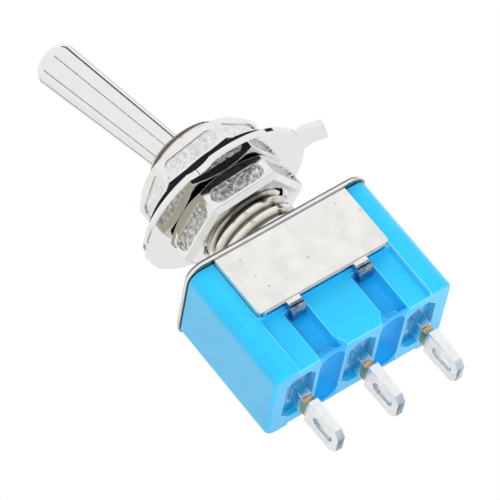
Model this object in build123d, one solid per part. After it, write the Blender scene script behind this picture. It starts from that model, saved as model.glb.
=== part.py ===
from build123d import *
import os
from math import asin, atan, cos, degrees, pi, radians, sin, sqrt, tan

# Panel-mount toggle switch, single pole, two positions.  Millimetres, +Z up.
# Origin: on the bushing axis, at the top face of the sheet-metal cover.
# X runs along the row of terminals, -Y is the front, the lever points up (+Z).

# ---- lever travel ---------------------------------------------------------
HALF_THROW = 12.3          # lever tilt to each side of the bushing axis, degrees
PIVOT_Z = 4.9              # height of the lever's ball centre
ROCKER_TILT = 7.0          # tilt of the contact rocker to each side, degrees

# ---- clearances -----------------------------------------------------------
BALL_FIT = 0.05            # ball in its spherical seat, radial
SWING_FIT = 0.08           # lever neck and stem beside the bushing's wall
THREAD_FIT = 0.03          # nut bore outside the thread, radial
RING_FIT = 0.06            # ring bore and key outside the bushing, radial
STACK_GAP = 0.02           # between the faces of nuts, ring and washer
SHEET_FIT = 0.03           # cover beside the housing
SLOT_FIT = 0.04            # terminal in its slot
PLUNGER_FIT = 0.05         # plunger in the stem's bore, radial
CONTACT_GAP = 0.03         # switch contacts that touch in use

# ---- threaded bushing -----------------------------------------------------
THREAD_R = 3.0             # outside of an M6 x 0.75 thread
BUSHING_TOP = 9.0
BUSHING_CHAMFER = 0.4
KEYWAY_WIDTH = 0.9
KEYWAY_DEPTH = 0.4
KEY_ANGLE = -21.0          # keyway, key and ring tab, degrees from +X
NECK_R = 2.5               # reduced neck through the cover
STAKE_R = 2.78             # rim that is riveted over under the cover
STAKE_HEIGHT = 0.3

# ---- lever ----------------------------------------------------------------
BALL_R = 1.95
LEVER_NECK_R = 1.22
LEVER_TAPER_START = 3.9    # above the ball centre
LEVER_TIP_R = 1.52
LEVER_LENGTH = 15.0        # ball centre to tip
LEVER_TIP_FLAT_R = 0.75
LEVER_TIP_ROUND = 0.85
STEM_R = 0.85
STEM_LENGTH = 6.6          # ball centre to the stem's end
STEM_BORE_R = 0.55
STEM_BORE_DEPTH = 4.0

# ---- plunger and its spring -----------------------------------------------
PLUNGER_REACH = 9.4        # ball centre to the centre of the round tip
PLUNGER_HEAD = 2.2         # length held in the stem at rest
PLUNGER_TRAVEL = 0.35
SPRING_WIRE_R = 0.08
SPRING_TURNS = 6

# ---- sheet-metal cover ----------------------------------------------------
SHEET = 0.5
COVER_LENGTH = 14.0
COVER_DEPTH = 7.6
COVER_CORNER_R = 1.3
FLAP_WIDTH = 10.2
FLAP_BOTTOM = -5.4
FLAP_CORNER_R = 0.5
BEND_R = 0.45              # outer radius where the flaps fold down
HOOK_X = 2.62
HOOK_WIDTH = 1.1
HOOK_BEND_R = 0.15         # inner radius of the hook
HOOK_DROP = 0.25
HOOK_TONGUE = 0.5

# ---- moulded housing ------------------------------------------------------
HOUSING_LENGTH = 13.8
COLUMN_SETBACK = 0.4       # end columns behind the outer face of a flap
FACE_STEP = 0.27           # middle face below a flap, behind the face under the flap
STEP_LAP = 0.1             # height of that step behind the flap
HOUSING_BOTTOM = -9.6
HOUSING_CORNER_R = 0.9
HOUSING_EDGE_R = 0.25
CHANNEL_R = 0.82           # half-round channels under the hooks
GROOVE_R = 0.95            # half-round grooves across the bottom
CAVITY_LENGTH = 10.5
CAVITY_DEPTH = 3.2
CAVITY_CORNER_R = 0.5
PAD_THICKNESS = 0.6        # contact pad at the end of an outer terminal
BUTTON_HEIGHT = 0.4
POCKET_LENGTH = 4.5        # along Y
POCKET_WIDTH = 2.25        # along X
POCKET_CORNER = 0.65
POCKET_DEPTH = 0.9
SEAL_DEPTH = 0.45

# ---- terminals ------------------------------------------------------------
PITCH = 4.7
TERMINAL_THICKNESS = 0.76
TIP_THICKNESS = 0.56
BLADE_WIDTH = 2.2
BLADE_TOP = -10.8
BLADE_BOTTOM = -13.85
NECK_WIDTH = 1.25
BODY_WIDTH = 1.6           # inside the housing
NOTCH_HEIGHT = 0.55        # band of the narrow neck
SOLDER_SLOT_WIDTH = 0.85
SOLDER_SLOT_LENGTH = 1.8
SOLDER_SLOT_Z = -12.4
PAD_REACH = 2.15           # from the terminal's middle towards the rocker
BUTTON_R = 0.62

# ---- rocker ---------------------------------------------------------------
ROCKER_THICKNESS = 0.45
ROCKER_WIDTH = 2.2
TROUGH_HALF = 2.4
WING_HALF = 4.0
WING_CONTACT_X = 3.4
SADDLE_EAR = 0.35
SADDLE_EAR_RISE = 0.7

# ---- nuts, ring and washer ------------------------------------------------
NUT_FLATS = 8.0
NUT_THICKNESS = 2.2
NUT_CHAMFER_ANGLE = 31.0
NUT_BORE_CHAMFER = 0.35
NUT_BEVEL = 0.32           # even bevel round the lower face
NUT_PANEL_LENGTH = 3.9     # pressed recess in each flat
NUT_PANEL_WIDTH = 1.1
NUT_PANEL_DEPTH = 0.1
NUT_PANEL_Z = 1.05         # middle of the recess above the lower face
LOWER_NUT_Z = 2.2
LOWER_NUT_TURN = -8.0      # degrees about Z
UPPER_NUT_TURN = -22.0
RING_R = 6.2
RING_THICKNESS = 0.45
RING_NOTCH_ANGLE = -115.5
RING_NOTCH_R = 1.6         # round cut in the rim
RING_NOTCH_DEPTH = 0.45
RING_EDGE = 0.09           # broken edges of the rim
TAB_WIDTH = 2.3
TAB_LENGTH = 1.8
TAB_DROP_ANGLE = 21.0
KEY_WIDTH = 0.8
WASHER_R = 5.2
WASHER_BAND = 1.1
WASHER_THICKNESS = 0.55
WASHER_HEIGHT = 0.85       # with its twisted teeth
TOOTH_COUNT = 8
TOOTH_WIDTH = 1.1

# ---- places that follow from the sizes above ------------------------------
FLAP_INNER_Y = COVER_DEPTH / 2 - SHEET
RECESS_Y = FLAP_INNER_Y - SHEET_FIT
HOUSING_TOP = -SHEET - SHEET_FIT
HOUSING_DEPTH = COVER_DEPTH - 2 * COLUMN_SETBACK
MIDDLE_FACE_Y = RECESS_Y - FACE_STEP
PLUNGER_R = STEM_BORE_R - PLUNGER_FIT
ROCKER_Z = PIVOT_Z - PLUNGER_REACH - PLUNGER_R - CONTACT_GAP - ROCKER_THICKNESS
HOOK_BEND_Z = FLAP_BOTTOM - HOOK_DROP
CHANNEL_TOP = HOOK_BEND_Z
RING_Z = LOWER_NUT_Z + NUT_THICKNESS + STACK_GAP
WASHER_Z = RING_Z + RING_THICKNESS + STACK_GAP
UPPER_NUT_Z = WASHER_Z + WASHER_HEIGHT + STACK_GAP


def trough_radius():
    """Radius of the path of the plunger's tip, seen from the tilting rocker."""
    tip_x = PLUNGER_REACH * sin(radians(HALF_THROW))
    tip_z = PIVOT_Z - PLUNGER_REACH * cos(radians(HALF_THROW)) - ROCKER_Z
    tilt = radians(ROCKER_TILT)
    side = tip_x * cos(tilt) - tip_z * sin(tilt)
    rise = tip_x * sin(tilt) + tip_z * cos(tilt) - (PIVOT_Z - PLUNGER_REACH - ROCKER_Z)
    return (side * side + rise * rise) / (2 * rise)


TROUGH_PATH_R = trough_radius()
TROUGH_TOP_R = TROUGH_PATH_R + PLUNGER_R + CONTACT_GAP
TROUGH_UNDER_R = TROUGH_TOP_R + ROCKER_THICKNESS


def arc_height(radius, x):
    """Height of the trough's arc above the rocker's pivot, at x."""
    return TROUGH_UNDER_R - sqrt(radius * radius - x * x)


def contact_height():
    """Top of a fixed contact that the tilted rocker's wing rests on."""
    under = arc_height(TROUGH_UNDER_R, TROUGH_HALF)
    tilt = radians(ROCKER_TILT)
    outer_x = WING_CONTACT_X + BUTTON_R
    return ROCKER_Z - outer_x * sin(tilt) + under * cos(tilt) - CONTACT_GAP


BUTTON_TOP = contact_height()
PAD_TOP = BUTTON_TOP - BUTTON_HEIGHT
CAVITY_FLOOR = PAD_TOP - PAD_THICKNESS
BUTTON_X = (WING_CONTACT_X * cos(radians(ROCKER_TILT))
            + arc_height(TROUGH_UNDER_R, TROUGH_HALF) * sin(radians(ROCKER_TILT)))


def revolve_profile(points):
    """Solid of revolution about Z from (radius, height) points."""
    outline = Polyline(*[(r, 0, z) for r, z in points], close=True)
    return revolve(make_face(outline), Axis.Z)


def tilted(shape):
    """Turn a shape built on the lever's own axis to the lever's rest place."""
    turned = Rot(0, -HALF_THROW, 0) * shape
    return Pos(0, 0, PIVOT_Z) * turned


def swing_radius(height, body_r):
    """Reach from the Z axis of a swinging round body, at a height above or below the pivot."""
    tilt = radians(HALF_THROW)
    return abs(height) * tan(tilt) + body_r / cos(tilt) + SWING_FIT


# ---- lever and its works --------------------------------------------------
def lever():
    """Bat lever with pivot ball, lower stem and blind bore for the plunger."""
    tip = LEVER_LENGTH
    shoulder = tip - LEVER_TIP_ROUND
    with BuildPart() as part:
        with BuildSketch(Plane.XZ):
            with BuildLine():
                Polyline((0, -STEM_LENGTH), (STEM_R, -STEM_LENGTH), (STEM_R, 0),
                         (LEVER_NECK_R, 0), (LEVER_NECK_R, LEVER_TAPER_START),
                         (LEVER_TIP_R, shoulder))
                TangentArc((LEVER_TIP_R, shoulder), (LEVER_TIP_FLAT_R, tip), tangent=(0, 1))
                Polyline((LEVER_TIP_FLAT_R, tip), (0, tip), (0, -STEM_LENGTH))
            make_face()
        revolve(axis=Axis.Z)
        Sphere(BALL_R)
        with Locations((0, 0, -STEM_LENGTH)):
            Cylinder(STEM_BORE_R, STEM_BORE_DEPTH, mode=Mode.SUBTRACT,
                     align=(Align.CENTER, Align.CENTER, Align.MIN))
    return tilted(part.part)


def plunger():
    """Moulded pin that slides in the stem and presses on the rocker."""
    top = -STEM_LENGTH + PLUNGER_HEAD
    length = top + PLUNGER_REACH
    pin = Pos(0, 0, -PLUNGER_REACH) * Cylinder(
        PLUNGER_R, length, align=(Align.CENTER, Align.CENTER, Align.MIN))
    pin += Pos(0, 0, -PLUNGER_REACH) * Sphere(PLUNGER_R)
    return tilted(pin)


def plunger_spring():
    """Compression spring between the bore's end and the plunger, its wire drawn six-sided."""
    bore_end = -STEM_LENGTH + STEM_BORE_DEPTH
    low = -STEM_LENGTH + PLUNGER_HEAD + SPRING_WIRE_R + STACK_GAP
    high = bore_end - SPRING_WIRE_R - STACK_GAP
    coil_r = PLUNGER_R - SPRING_WIRE_R
    path = Helix(pitch=(high - low) / SPRING_TURNS, height=high - low, radius=coil_r)
    section = Plane(path @ 0, z_dir=path % 0) * RegularPolygon(SPRING_WIRE_R, 6)
    return tilted(Pos(0, 0, low) * sweep(section, path, is_frenet=True))


def bushing():
    """Threaded bushing: ball seat, open mouth, keyway and riveted neck."""
    tilt = tan(radians(HALF_THROW))
    seat_r = BALL_R + BALL_FIT
    mouth_base = swing_radius(0, LEVER_NECK_R)
    throat = (-mouth_base * tilt + sqrt(seat_r ** 2 * (1 + tilt ** 2) - mouth_base ** 2)) / (1 + tilt ** 2)
    top = BUSHING_TOP - PIVOT_Z
    foot = -SHEET - STAKE_HEIGHT
    lower_r = seat_r + BALL_FIT
    body = revolve_profile([
        (0, foot), (STAKE_R, foot), (STAKE_R, -SHEET - STACK_GAP), (NECK_R, -SHEET - STACK_GAP),
        (NECK_R, 0), (THREAD_R, 0), (THREAD_R, BUSHING_TOP - BUSHING_CHAMFER),
        (THREAD_R - BUSHING_CHAMFER, BUSHING_TOP), (0, BUSHING_TOP)])
    mouth = revolve_profile([
        (0, PIVOT_Z + throat), (mouth_base + throat * tilt, PIVOT_Z + throat),
        (mouth_base + top * tilt, BUSHING_TOP), (0, BUSHING_TOP)])
    seat = Pos(0, 0, PIVOT_Z) * Sphere(seat_r)
    flare_z = PIVOT_Z - (lower_r - swing_radius(0, STEM_R)) / tilt
    foot_r = swing_radius(PIVOT_Z - foot, STEM_R)
    bore = revolve_profile([
        (0, foot), (foot_r, foot), (lower_r, flare_z), (lower_r, PIVOT_Z), (0, PIVOT_Z)])
    keyway = Rot(0, 0, KEY_ANGLE) * Pos(THREAD_R - KEYWAY_DEPTH, 0, 0) * Box(
        2 * KEYWAY_DEPTH, KEYWAY_WIDTH, BUSHING_TOP,
        align=(Align.MIN, Align.CENTER, Align.MIN))
    return body - mouth - seat - bore - keyway


# ---- sheet-metal cover ----------------------------------------------------
def flap(side):
    """One folded flap with its two hooks; side is -1 for the front, 1 for the back."""
    outer_y = COVER_DEPTH / 2
    with BuildPart() as sheet:
        with BuildSketch(Plane.XZ):
            with Locations((0, (FLAP_BOTTOM - SHEET / 2) / 2)):
                Rectangle(FLAP_WIDTH, -FLAP_BOTTOM - SHEET / 2)
            fillet(vertices().group_by(Axis.Y)[0], FLAP_CORNER_R)
        extrude(amount=SHEET)
    panel = Pos(0, -FLAP_INNER_Y, 0) * sheet.part
    inner = HOOK_BEND_R
    outer = HOOK_BEND_R + SHEET
    bend_y = -FLAP_INNER_Y + inner
    with BuildPart() as hook:
        with BuildSketch(Plane.YZ):
            with BuildLine():
                Polyline((-outer_y, FLAP_BOTTOM + FLAP_CORNER_R), (-outer_y, HOOK_BEND_Z))
                RadiusArc((-outer_y, HOOK_BEND_Z), (bend_y, HOOK_BEND_Z - outer), -outer)
                Polyline((bend_y, HOOK_BEND_Z - outer), (bend_y + HOOK_TONGUE, HOOK_BEND_Z - outer),
                         (bend_y + HOOK_TONGUE, HOOK_BEND_Z - inner), (bend_y, HOOK_BEND_Z - inner))
                RadiusArc((bend_y, HOOK_BEND_Z - inner), (-FLAP_INNER_Y, HOOK_BEND_Z), inner)
                Polyline((-FLAP_INNER_Y, HOOK_BEND_Z), (-FLAP_INNER_Y, FLAP_BOTTOM + FLAP_CORNER_R),
                         (-outer_y, FLAP_BOTTOM + FLAP_CORNER_R))
            make_face()
        extrude(amount=HOOK_WIDTH / 2, both=True)
    for x in (-HOOK_X, HOOK_X):
        panel += Pos(x, 0, 0) * hook.part
    return panel if side < 0 else Rot(0, 0, 180) * panel


def frame_cover():
    """Stamped cover: top plate, two flaps and four hooks, one folded sheet."""
    with BuildPart() as plate:
        with BuildSketch(Plane.XY.offset(-SHEET)):
            RectangleRounded(COVER_LENGTH, COVER_DEPTH, COVER_CORNER_R)
        extrude(amount=SHEET)
    body = plate.part + flap(-1) + flap(1)
    folds = body.edges().filter_by(Axis.X).filter_by(
        lambda e: abs(e.center().Z) < 1e-6 and abs(abs(e.center().Y) - COVER_DEPTH / 2) < 1e-6)
    body = fillet(folds, BEND_R)
    return body - Cylinder(NECK_R + STACK_GAP, 4 * SHEET)


# ---- moulded housing ------------------------------------------------------
def terminal_places():
    """X of each terminal, left to right."""
    return (-PITCH, 0, PITCH)


def pocket_face(z, grow=0.0):
    """Octagonal outline of a terminal pocket, on the plane at z."""
    with BuildSketch(Plane.XY.offset(z)) as sketch:
        Rectangle(POCKET_WIDTH + 2 * grow, POCKET_LENGTH + 2 * grow)
        chamfer(sketch.vertices(), POCKET_CORNER)
    return sketch.sketch


def housing():
    """Housing with end columns, hook channels, bottom grooves, pockets and cavity."""
    height = HOUSING_TOP - HOUSING_BOTTOM
    with BuildPart() as block:
        with BuildSketch(Plane.XY.offset(HOUSING_BOTTOM)):
            RectangleRounded(HOUSING_LENGTH, HOUSING_DEPTH, HOUSING_CORNER_R)
        extrude(amount=height)
        fillet(block.faces().sort_by(Axis.Z)[0].edges(), HOUSING_EDGE_R)
    body = block.part
    recess_width = FLAP_WIDTH + 2 * SHEET_FIT
    recess = Pos(0, RECESS_Y, HOUSING_BOTTOM) * Box(
        recess_width, HOUSING_DEPTH, height, align=(Align.CENTER, Align.MIN, Align.MIN))
    channel_length = CHANNEL_TOP - HOUSING_BOTTOM
    step = Pos(0, MIDDLE_FACE_Y, HOUSING_BOTTOM) * Box(
        recess_width, HOUSING_DEPTH, FLAP_BOTTOM + STEP_LAP - HOUSING_BOTTOM,
        align=(Align.CENTER, Align.MIN, Align.MIN))
    cuts = [recess, Rot(0, 0, 180) * recess, step, Rot(0, 0, 180) * step]
    for x in (-HOOK_X, HOOK_X):
        for y in (-MIDDLE_FACE_Y, MIDDLE_FACE_Y):
            cuts.append(Pos(x, y, HOUSING_BOTTOM) * Cylinder(
                CHANNEL_R, channel_length, align=(Align.CENTER, Align.CENTER, Align.MIN)))
    for x in (-PITCH / 2, PITCH / 2):
        cuts.append(Pos(x, 0, HOUSING_BOTTOM) * Rot(90, 0, 0) * Cylinder(GROOVE_R, HOUSING_DEPTH))
    cavity_height = HOUSING_TOP - CAVITY_FLOOR
    with BuildPart() as cavity:
        with BuildSketch(Plane.XY.offset(CAVITY_FLOOR)):
            RectangleRounded(CAVITY_LENGTH, CAVITY_DEPTH, CAVITY_CORNER_R)
        extrude(amount=cavity_height)
    cuts.append(cavity.part)
    cuts.append(Pos(0, 0, HOUSING_TOP) * Cylinder(
        STAKE_R + SHEET_FIT, 2 * (STAKE_HEIGHT + SHEET_FIT)))
    for x in terminal_places():
        pocket = extrude(pocket_face(HOUSING_BOTTOM), POCKET_DEPTH)
        cuts.append(Pos(x, 0, 0) * pocket)
        cuts.append(Pos(x, 0, CAVITY_FLOOR) * Box(
            TERMINAL_THICKNESS + 2 * SLOT_FIT, BODY_WIDTH + 2 * SLOT_FIT,
            2 * (CAVITY_FLOOR - HOUSING_BOTTOM - POCKET_DEPTH)))
    for cut in cuts:
        body -= cut
    return body


def terminal_seal(x):
    """Poured seal in the bottom of a pocket, round the terminal."""
    floor = HOUSING_BOTTOM + POCKET_DEPTH
    seal = extrude(pocket_face(floor - SEAL_DEPTH, -STACK_GAP), SEAL_DEPTH - STACK_GAP)
    hole = Pos(0, 0, floor) * Box(
        TERMINAL_THICKNESS + 2 * STACK_GAP, BODY_WIDTH + 2 * STACK_GAP, 4 * SEAL_DEPTH)
    return Pos(x, 0, 0) * (seal - hole)


# ---- terminals and contacts -----------------------------------------------
def blade(top):
    """Solder blade, neck and flat body of a terminal, up to the given height."""
    neck_low = BLADE_TOP + NOTCH_HEIGHT
    half = BLADE_WIDTH / 2
    tip_corner = 0.45
    with BuildPart() as strip:
        with BuildSketch(Plane.YZ):
            Polygon((-half + tip_corner, BLADE_BOTTOM), (half - tip_corner, BLADE_BOTTOM),
                    (half, BLADE_BOTTOM + tip_corner), (half, BLADE_TOP),
                    (NECK_WIDTH / 2, BLADE_TOP), (NECK_WIDTH / 2, neck_low),
                    (BODY_WIDTH / 2, neck_low), (BODY_WIDTH / 2, top),
                    (-BODY_WIDTH / 2, top), (-BODY_WIDTH / 2, neck_low),
                    (-NECK_WIDTH / 2, neck_low), (-NECK_WIDTH / 2, BLADE_TOP),
                    (-half, BLADE_TOP), (-half, BLADE_BOTTOM + tip_corner), align=None)
            with Locations((0, SOLDER_SLOT_Z)):
                SlotOverall(SOLDER_SLOT_LENGTH, SOLDER_SLOT_WIDTH, rotation=90, mode=Mode.SUBTRACT)
        extrude(amount=TERMINAL_THICKNESS / 2, both=True)
    lean = degrees(atan((TERMINAL_THICKNESS - TIP_THICKNESS) / 2 / (BLADE_TOP - BLADE_BOTTOM)))
    body = strip.part
    for side in (-1, 1):
        wedge = Pos(side * TERMINAL_THICKNESS / 2, 0, BLADE_TOP) * Rot(0, side * lean, 0) * Box(
            TERMINAL_THICKNESS, 2 * BLADE_WIDTH, 2 * (BLADE_TOP - BLADE_BOTTOM),
            align=(Align.MIN if side > 0 else Align.MAX, Align.CENTER, Align.MAX))
        body -= wedge
    return body


def outer_terminal(side):
    """Outer terminal: its top is bent towards the rocker as a contact pad."""
    body = blade(PAD_TOP)
    pad = Pos(TERMINAL_THICKNESS / 2, 0, CAVITY_FLOOR) * Box(
        PAD_REACH + TERMINAL_THICKNESS / 2, BODY_WIDTH, PAD_THICKNESS,
        align=(Align.MAX, Align.CENTER, Align.MIN))
    body = body + pad - Pos(BUTTON_X - PITCH, 0, PAD_TOP) * Cylinder(
        BUTTON_R / 2 + STACK_GAP, PAD_THICKNESS)
    return Pos(PITCH, 0, 0) * body if side > 0 else Rot(0, 0, 180) * (Pos(PITCH, 0, 0) * body)


def centre_terminal():
    """Centre terminal: a rounded saddle ridge between two ears carries the rocker."""
    ridge_top = ROCKER_Z - CONTACT_GAP
    ridge_r = TERMINAL_THICKNESS / 2
    body = blade(ridge_top - ridge_r)
    body += Pos(0, 0, ridge_top - ridge_r) * Rot(90, 0, 0) * Cylinder(ridge_r, BODY_WIDTH)
    ear_y = ROCKER_WIDTH / 2 + CONTACT_GAP
    foot = CAVITY_FLOOR + SLOT_FIT
    for side in (-1, 1):
        body += Pos(0, side * (BODY_WIDTH / 2 - ridge_r), foot) * Box(
            TERMINAL_THICKNESS, ear_y + SADDLE_EAR - BODY_WIDTH / 2 + ridge_r,
            ridge_top - ridge_r - foot,
            align=(Align.CENTER, Align.MIN if side > 0 else Align.MAX, Align.MIN))
        body += Pos(0, side * ear_y, foot) * Box(
            TERMINAL_THICKNESS, SADDLE_EAR, ROCKER_Z + SADDLE_EAR_RISE - foot,
            align=(Align.CENTER, Align.MIN if side > 0 else Align.MAX, Align.MIN))
    return body


def contact_button(side):
    """Contact rivet on an outer terminal's pad."""
    head = Pos(0, 0, PAD_TOP) * Cylinder(
        BUTTON_R, BUTTON_HEIGHT, align=(Align.CENTER, Align.CENTER, Align.MIN))
    head = chamfer(head.faces().sort_by(Axis.Z)[-1].edges(), BUTTON_HEIGHT / 4)
    shank = Pos(0, 0, PAD_TOP) * Cylinder(
        BUTTON_R / 2, PAD_THICKNESS / 2, align=(Align.CENTER, Align.CENTER, Align.MAX))
    return Pos(side * BUTTON_X, 0, 0) * (head + shank)


def contact_rocker():
    """Rocking contact: a curved trough that the plunger rides in, with two wings."""
    wing_top = arc_height(TROUGH_TOP_R, TROUGH_HALF)
    wing_under = arc_height(TROUGH_UNDER_R, TROUGH_HALF)
    with BuildPart() as part:
        with BuildSketch(Plane.XZ):
            with BuildLine():
                ThreePointArc((-TROUGH_HALF, wing_top), (0, ROCKER_THICKNESS), (TROUGH_HALF, wing_top))
                Polyline((TROUGH_HALF, wing_top), (WING_HALF, wing_top), (WING_HALF, wing_under),
                         (TROUGH_HALF, wing_under))
                ThreePointArc((TROUGH_HALF, wing_under), (0, 0), (-TROUGH_HALF, wing_under))
                Polyline((-TROUGH_HALF, wing_under), (-WING_HALF, wing_under),
                         (-WING_HALF, wing_top), (-TROUGH_HALF, wing_top))
            make_face()
        extrude(amount=ROCKER_WIDTH / 2, both=True)
    return Pos(0, 0, ROCKER_Z) * Rot(0, ROCKER_TILT, 0) * part.part


# ---- nuts, ring and washer ------------------------------------------------
def hex_nut(bottom, turn):
    """Hexagon nut with rounded corners on top, bevelled below, a pressed recess in each flat."""
    corner_r = NUT_FLATS / sqrt(3)
    drop = (corner_r - NUT_FLATS / 2) * tan(radians(NUT_CHAMFER_ANGLE))
    with BuildPart() as nut:
        with BuildSketch():
            RegularPolygon(corner_r, 6)
        extrude(amount=NUT_THICKNESS)
        chamfer(nut.faces().sort_by(Axis.Z)[0].edges(), NUT_BEVEL)
    rounded = revolve_profile([
        (0, 0), (corner_r, 0), (corner_r, NUT_THICKNESS - drop),
        (NUT_FLATS / 2, NUT_THICKNESS), (0, NUT_THICKNESS)])
    bore_r = THREAD_R + THREAD_FIT
    wide_r = bore_r + NUT_BORE_CHAMFER
    bore = revolve_profile([
        (0, 0), (wide_r, 0), (bore_r, NUT_BORE_CHAMFER), (bore_r, NUT_THICKNESS - NUT_BORE_CHAMFER),
        (wide_r, NUT_THICKNESS), (0, NUT_THICKNESS)])
    body = (nut.part & rounded) - bore
    with BuildPart() as panel:
        with BuildSketch(Plane.XZ.offset(NUT_FLATS / 2 - NUT_PANEL_DEPTH)):
            with Locations((0, NUT_PANEL_Z)):
                SlotOverall(NUT_PANEL_LENGTH, NUT_PANEL_WIDTH)
        extrude(amount=NUT_PANEL_DEPTH)
    for index in range(6):
        body -= Rot(0, 0, 60 * index) * panel.part
    return Pos(0, 0, bottom) * Rot(0, 0, turn) * body


def locating_ring():
    """Keyed locating ring: round washer with inner key, bent outer tab and rim notch."""
    bore_r = THREAD_R + RING_FIT
    with BuildPart() as ring:
        with BuildSketch():
            Circle(RING_R)
            Circle(bore_r, mode=Mode.SUBTRACT)
            key_tip = THREAD_R - KEYWAY_DEPTH + RING_FIT
            with Locations((key_tip, 0)):
                Rectangle(bore_r + WASHER_BAND - key_tip, KEY_WIDTH, align=(Align.MIN, Align.CENTER))
            with Locations(Location((0, 0, 0), (0, 0, RING_NOTCH_ANGLE - KEY_ANGLE))):
                with Locations((RING_R + RING_NOTCH_R - RING_NOTCH_DEPTH, 0)):
                    Circle(RING_NOTCH_R, mode=Mode.SUBTRACT)
        extrude(amount=RING_THICKNESS)
        chamfer(ring.edges().filter_by(GeomType.CIRCLE).filter_by(
            lambda e: abs(e.radius - RING_R) < 1e-6), RING_EDGE)
    root = sqrt(RING_R ** 2 - (TAB_WIDTH / 2) ** 2) - RING_THICKNESS
    tab = Pos(root, 0, 0) * Box(RING_THICKNESS + TAB_LENGTH / 3, TAB_WIDTH, RING_THICKNESS,
                                align=(Align.MIN, Align.CENTER, Align.MIN))
    bend = Pos(root + RING_THICKNESS + TAB_LENGTH / 3, 0, RING_THICKNESS / 2)
    lip = bend * Rot(0, TAB_DROP_ANGLE, 0) * Pos(-RING_THICKNESS / 4, 0, 0) * Box(
        TAB_LENGTH * 2 / 3 + RING_THICKNESS / 4, TAB_WIDTH * 0.92, RING_THICKNESS * 0.96,
        align=(Align.MIN, Align.CENTER, Align.CENTER))
    body = ring.part + tab + lip
    return Pos(0, 0, RING_Z) * Rot(0, 0, KEY_ANGLE) * body


def lock_washer():
    """Internal-tooth lock washer: flat band with twisted teeth."""
    inner_r = WASHER_R - WASHER_BAND
    band = Pos(0, 0, (WASHER_HEIGHT - WASHER_THICKNESS) / 2) * (
        Cylinder(WASHER_R, WASHER_THICKNESS, align=(Align.CENTER, Align.CENTER, Align.MIN))
        - Cylinder(inner_r, WASHER_THICKNESS, align=(Align.CENTER, Align.CENTER, Align.MIN)))
    tooth_tip = THREAD_R + RING_FIT
    diagonal = sqrt(TOOTH_WIDTH ** 2 + WASHER_THICKNESS ** 2)
    twist = degrees(asin(WASHER_HEIGHT / diagonal) - atan(WASHER_THICKNESS / TOOTH_WIDTH))
    tooth = Pos(tooth_tip, 0, WASHER_HEIGHT / 2) * Rot(twist, 0, 0) * Box(
        inner_r - tooth_tip + WASHER_BAND / 3, TOOTH_WIDTH, WASHER_THICKNESS,
        align=(Align.MIN, Align.CENTER, Align.CENTER))
    body = band
    for index in range(TOOTH_COUNT):
        body += Rot(0, 0, 360 * index / TOOTH_COUNT) * tooth
    return Pos(0, 0, WASHER_Z) * body


def pieces():
    """Every piece of the switch, by name."""
    return {
        "lever": lever(),
        "plunger": plunger(),
        "plunger_spring": plunger_spring(),
        "bushing": bushing(),
        "frame_cover": frame_cover(),
        "housing": housing(),
        "terminal_left": outer_terminal(-1),
        "terminal_centre": centre_terminal(),
        "terminal_right": outer_terminal(1),
        "contact_left": contact_button(-1),
        "contact_right": contact_button(1),
        "contact_rocker": contact_rocker(),
        "seal_left": terminal_seal(-PITCH),
        "seal_centre": terminal_seal(0),
        "seal_right": terminal_seal(PITCH),
        "nut_lower": hex_nut(LOWER_NUT_Z, LOWER_NUT_TURN),
        "nut_upper": hex_nut(UPPER_NUT_Z, UPPER_NUT_TURN),
        "locating_ring": locating_ring(),
        "lock_washer": lock_washer(),
    }


os.makedirs("parts", exist_ok=True)
for name, shape in pieces().items():
    export_step(shape, f"parts/{name}.step")
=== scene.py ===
"""Looks of a panel-mount toggle switch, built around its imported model.

The bushing gets its screw thread, the nuts, the cover, the housing and the terminals
get softened edges, the grooves under the housing get their round ends, and every
piece gets its finish. Lengths are in metres; MM turns millimetres into metres.
"""

import logging
import math
from collections.abc import Callable, Iterator, Sequence
from contextlib import contextmanager
from dataclasses import dataclass, field
from enum import Enum
from functools import cache

import bpy
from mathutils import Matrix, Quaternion, Vector


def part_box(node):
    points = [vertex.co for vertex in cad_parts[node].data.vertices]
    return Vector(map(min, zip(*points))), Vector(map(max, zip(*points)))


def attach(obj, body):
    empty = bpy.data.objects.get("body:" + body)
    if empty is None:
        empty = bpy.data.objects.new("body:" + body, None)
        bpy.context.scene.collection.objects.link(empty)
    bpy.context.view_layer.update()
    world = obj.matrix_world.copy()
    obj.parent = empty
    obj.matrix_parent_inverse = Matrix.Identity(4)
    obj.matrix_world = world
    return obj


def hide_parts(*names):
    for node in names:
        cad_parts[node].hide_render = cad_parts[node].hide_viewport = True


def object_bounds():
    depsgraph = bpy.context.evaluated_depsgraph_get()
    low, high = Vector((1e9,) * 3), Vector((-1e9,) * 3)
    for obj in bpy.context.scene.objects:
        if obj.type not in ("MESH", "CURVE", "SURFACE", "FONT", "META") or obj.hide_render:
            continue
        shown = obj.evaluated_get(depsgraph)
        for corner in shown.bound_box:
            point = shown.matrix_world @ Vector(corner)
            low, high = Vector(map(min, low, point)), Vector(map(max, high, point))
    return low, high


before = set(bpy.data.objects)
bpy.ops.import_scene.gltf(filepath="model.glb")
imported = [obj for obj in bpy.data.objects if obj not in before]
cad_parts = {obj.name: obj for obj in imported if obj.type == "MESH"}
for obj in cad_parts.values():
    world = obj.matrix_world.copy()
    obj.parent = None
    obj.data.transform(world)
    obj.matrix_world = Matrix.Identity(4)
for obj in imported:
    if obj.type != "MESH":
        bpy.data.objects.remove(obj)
CAD_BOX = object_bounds()

MM = 0.001
SAME_PLACE = 0.001 * MM
MERGE_DISTANCE = 0.0005 * MM
ONE_PLANE = math.radians(0.4)
SHARP_ANGLE = math.radians(35.0)
CORNER_ANGLE = math.radians(50.0)
ROUNDING_FACES = 2
NORMAL_WEIGHT = 80
log = logging.getLogger("toggle_switch")

Color = tuple[float, float, float]
WHITE: Color = (1.0, 1.0, 1.0)


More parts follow.
